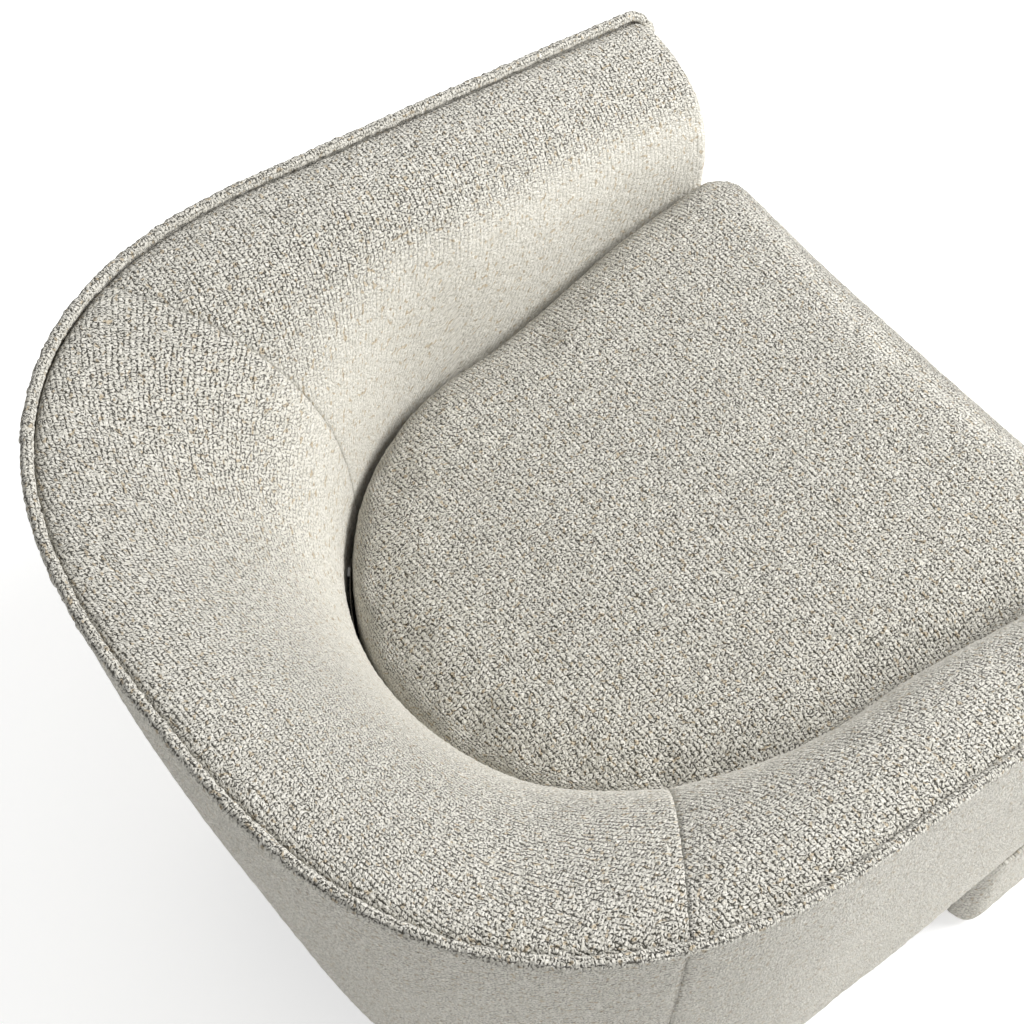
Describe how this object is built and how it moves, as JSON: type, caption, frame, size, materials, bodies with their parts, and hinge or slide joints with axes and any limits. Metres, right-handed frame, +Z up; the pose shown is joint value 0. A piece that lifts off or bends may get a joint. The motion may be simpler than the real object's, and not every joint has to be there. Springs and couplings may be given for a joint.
{
  "type": "upholstered barrel armchair",
  "caption": "Low barrel armchair: curved padded shell with a rim welt falling to rounded arms, loose seat cushion, upholstered block legs.",
  "frame": {"origin": "on the floor, under the middle of the chair's box", "axes": "+Z up, -Y is the front of the chair, +X is the sitter's left"},
  "size_m": [0.7772, 0.808, 0.684],
  "materials": {
    "boucle": "chunky cream boucle with dark olive gaps",
    "foam": "open cell foam, matt",
    "black_cloth": "black spun cloth",
    "webbing": "black woven elastic",
    "beech": "sawn beech",
    "plywood": "birch plywood with banded edges",
    "hardboard": "brown hardboard",
    "spring_steel": "oiled spring wire",
    "zinc": "zinc plated",
    "zip": "woven zip tape with nylon teeth",
    "glide_plastic": "black nylon"
  },
  "bodies": {
    "chair": {"inner_back_cover": "boucle", "inner_arm_cover_left": "boucle", "inner_arm_cover_right": "boucle", "back_foam": "foam", "arm_foam_left": "foam", "arm_foam_right": "foam", "outer_back_cover": "boucle", "outer_side_cover_left": "boucle", "outer_side_cover_right": "boucle", "welt": "boucle", "arm_front_left": "boucle", "arm_front_right": "boucle", "front_border": "boucle", "deck_pad": "foam", "deck_cloth": "black_cloth", "seat_springs": "spring_steel", "spring_clips": "zinc", "front_rail": "beech", "back_rail": "plywood", "side_rail_left": "beech", "side_rail_right": "beech", "corner_blocks": "beech", "rail_splices": "beech", "rim_board_back": "plywood", "rim_board_arm_left": "plywood", "rim_board_arm_right": "plywood", "base_board_back": "plywood", "base_board_left": "plywood", "base_board_right": "plywood", "base_board_front": "plywood", "back_ribs": "plywood", "back_webbing": "webbing", "arm_posts_left": "beech", "arm_posts_right": "beech", "arm_panel_left": "hardboard", "arm_panel_right": "hardboard", "leg_block_front_left": "beech", "leg_block_front_right": "beech", "leg_block_rear_left": "beech", "leg_block_rear_right": "beech", "leg_sleeve_front_left": "boucle", "leg_sleeve_front_right": "boucle", "leg_sleeve_rear_left": "boucle", "leg_sleeve_rear_right": "boucle", "leg_bolts": "zinc", "leg_washers": "zinc", "glides": "glide_plastic", "dust_cover": "black_cloth"},
    "seat_cushion": {"cushion_upper_cover": "boucle", "cushion_lower_cover": "boucle", "seat_cushion_core": "foam", "cushion_zip": "zip"}
  },
  "joints": [
    {"name": "cushion_lift", "type": "slide", "parent": "chair", "child": "seat_cushion", "axis": [0, 0, 1], "range_m": [0, 0.3]}
  ]
}
